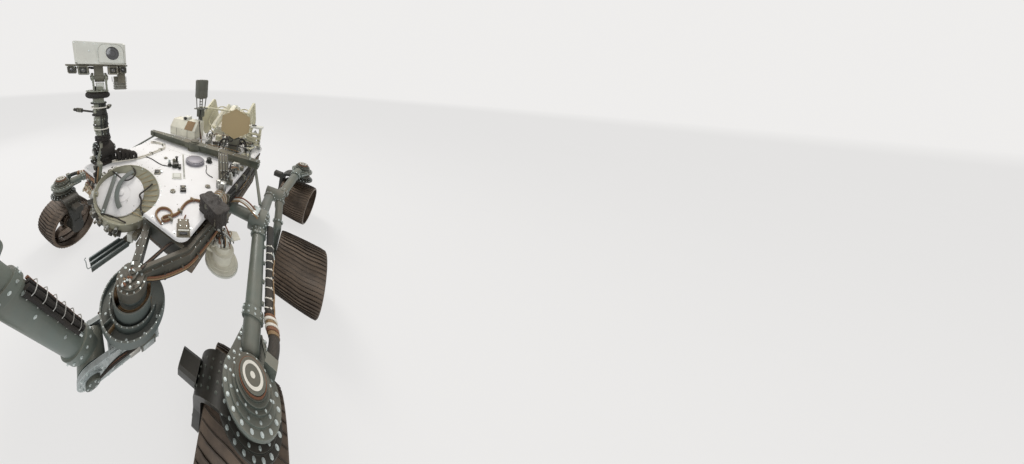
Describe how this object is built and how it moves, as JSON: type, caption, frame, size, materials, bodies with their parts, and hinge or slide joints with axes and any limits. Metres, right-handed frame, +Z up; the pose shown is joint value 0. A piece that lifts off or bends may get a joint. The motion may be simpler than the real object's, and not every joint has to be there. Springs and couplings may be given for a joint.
{
  "type": "mars rover",
  "caption": "Wheeled planetary rover with rocker and bogie legs, a turning camera mast, an instrument arm, a steerable dish and a finned generator.",
  "frame": {"origin": "on the ground under the middle of the whole rover", "axes": "+X forward, +Y to the rover's left, +Z up"},
  "size_m": [3.7164, 2.63, 2.2052],
  "materials": {
    "white_paint": "matt white paint with dust",
    "grey_paint": "matt grey-green paint",
    "dark_metal": "dark anodised metal",
    "bare_metal": "bare machined metal",
    "wheel_metal": "bare aluminium under tan dust",
    "blanket": "dark crumpled blanket",
    "gold_dish": "tan coated dish",
    "cable": "dark wrapped harness",
    "window": "dark coated window",
    "target": "bead-blasted plate"
  },
  "bodies": {
    "chassis": {"body_tub": "grey_paint", "top_deck": "white_paint", "belly_plate": "bare_metal", "arm_bracket": "dark_metal", "shoulder_ring": "grey_paint", "bit_carousel": "grey_paint", "front_tray": "bare_metal", "front_cameras": "bare_metal", "calibration_target": "target", "side_canister": "white_paint", "blanket_box": "blanket", "deck_fixtures": "bare_metal", "corner_camera": "grey_paint", "rear_box": "white_paint", "relay_antenna": "dark_metal", "antenna_post": "grey_paint", "generator": "white_paint", "generator_panels": "white_paint", "differential_bar": "dark_metal", "mast_base": "dark_metal", "mast_tube": "white_paint", "wind_booms": "white_paint", "rocker_left": "grey_paint", "bogie_left": "grey_paint", "rocker_cable_left": "cable", "differential_link_left": "grey_paint", "steering_drive_front_left": "dark_metal", "steering_drive_rear_left": "dark_metal", "rocker_right": "grey_paint", "bogie_right": "grey_paint", "rocker_cable_right": "cable", "differential_link_right": "grey_paint", "steering_drive_front_right": "dark_metal", "steering_drive_rear_right": "dark_metal"},
    "steer_front_left": {"fork_front_left": "dark_metal"},
    "wheel_front_left": {"wheel_front_left": "wheel_metal"},
    "steer_rear_left": {"fork_rear_left": "dark_metal"},
    "wheel_rear_left": {"wheel_rear_left": "wheel_metal"},
    "steer_front_right": {"fork_front_right": "dark_metal"},
    "wheel_front_right": {"wheel_front_right": "wheel_metal"},
    "steer_rear_right": {"fork_rear_right": "dark_metal"},
    "wheel_rear_right": {"wheel_rear_right": "wheel_metal"},
    "wheel_middle_left": {"wheel_middle_left": "wheel_metal"},
    "wheel_middle_right": {"wheel_middle_right": "wheel_metal"},
    "arm_shoulder": {"shoulder_turntable": "bare_metal"},
    "arm_upper": {"upper_arm": "grey_paint"},
    "arm_fore": {"forearm": "grey_paint"},
    "arm_wrist": {"wrist": "dark_metal"},
    "arm_turret": {"turret_core": "dark_metal", "drill": "grey_paint", "turret_instruments": "bare_metal"},
    "mast_pan": {"mast_yoke": "grey_paint"},
    "mast_tilt": {"camera_bar": "grey_paint", "mast_head": "white_paint", "head_window": "window", "mast_cameras": "dark_metal"},
    "dish_turn": {"dish_yoke": "dark_metal"},
    "dish_tilt": {"dish": "gold_dish"}
  },
  "joints": [
    {"name": "steer_front_left", "type": "hinge", "parent": "chassis", "child": "steer_front_left", "pos_m": [0.60716, 1.03, 0.64], "axis": [0, 0, 1], "range_deg": [-72.01, 47.99]},
    {"name": "spin_front_left", "type": "hinge", "parent": "steer_front_left", "child": "wheel_front_left", "pos_m": [0.60716, 1.03, 0.263], "axis": [-0.2081, 0.9781, 0], "continuous": true},
    {"name": "steer_rear_left", "type": "hinge", "parent": "chassis", "child": "steer_rear_left", "pos_m": [-1.57284, 1.03, 0.64], "axis": [0, 0, 1], "range_deg": [-48.2, 71.8]},
    {"name": "spin_rear_left", "type": "hinge", "parent": "steer_rear_left", "child": "wheel_rear_left", "pos_m": [-1.57284, 1.03, 0.263], "axis": [0.2045, 0.9789, 0], "continuous": true},
    {"name": "steer_front_right", "type": "hinge", "parent": "chassis", "child": "steer_front_right", "pos_m": [0.60716, -1.03, 0.64], "axis": [0, 0, 1], "range_deg": [-68.65, 51.35]},
    {"name": "spin_front_right", "type": "hinge", "parent": "steer_front_right", "child": "wheel_front_right", "pos_m": [0.60716, -1.03, 0.263], "axis": [-0.1504, 0.9886, 0], "continuous": true},
    {"name": "steer_rear_right", "type": "hinge", "parent": "chassis", "child": "steer_rear_right", "pos_m": [-1.57284, -1.03, 0.64], "axis": [0, 0, 1], "range_deg": [-51.5, 68.5]},
    {"name": "spin_rear_right", "type": "hinge", "parent": "steer_rear_right", "child": "wheel_rear_right", "pos_m": [-1.57284, -1.03, 0.263], "axis": [0.1477, 0.989, 0], "continuous": true},
    {"name": "spin_middle_left", "type": "hinge", "parent": "chassis", "child": "wheel_middle_left", "pos_m": [-0.49284, 1.15, 0.263], "axis": [0, 1, 0], "continuous": true},
    {"name": "spin_middle_right", "type": "hinge", "parent": "chassis", "child": "wheel_middle_right", "pos_m": [-0.49284, -1.15, 0.263], "axis": [0, 1, 0], "continuous": true},
    {"name": "arm_shoulder_turn", "type": "hinge", "parent": "chassis", "child": "arm_shoulder", "pos_m": [0.76916, 0.492, 0.815], "axis": [0, 0, 1], "range_deg": [-70, 80]},
    {"name": "arm_shoulder_lift", "type": "hinge", "parent": "arm_shoulder", "child": "arm_upper", "pos_m": [0.97589, 0.41676, 0.675], "axis": [-0.342, -0.9397, 0], "range_deg": [-75, 15]},
    {"name": "arm_elbow", "type": "hinge", "parent": "arm_upper", "child": "arm_fore", "pos_m": [1.26187, 0.4425, 1.38917], "axis": [-0.342, -0.9397, 0], "range_deg": [-30, 125]},
    {"name": "arm_wrist", "type": "hinge", "parent": "arm_fore", "child": "arm_wrist", "pos_m": [1.63916, 0.30517, 0.81576], "axis": [0.342, 0.9397, 0], "range_deg": [-130, 60]},
    {"name": "turret_turn", "type": "hinge", "parent": "arm_wrist", "child": "arm_turret", "pos_m": [1.63916, 0.30517, 0.69576], "axis": [0, 0, 1], "range_deg": [-175, 175]},
    {"name": "mast_pan", "type": "hinge", "parent": "chassis", "child": "mast_pan", "pos_m": [0.30716, -0.56, 1.752], "axis": [0, 0, 1], "range_deg": [-243, 117]},
    {"name": "mast_tilt", "type": "hinge", "parent": "mast_pan", "child": "mast_tilt", "pos_m": [0.30716, -0.56, 1.925], "axis": [0.891, -0.454, 0], "range_deg": [-87, 90]},
    {"name": "dish_turn", "type": "hinge", "parent": "chassis", "child": "dish_turn", "pos_m": [-0.82284, 0.36, 1.235], "axis": [0, 0, 1], "range_deg": [-200, 160]},
    {"name": "dish_tilt", "type": "hinge", "parent": "dish_turn", "child": "dish_tilt", "pos_m": [-0.82284, 0.36, 1.4], "axis": [0.342, -0.9397, 0], "range_deg": [-20, 75]}
  ]
}
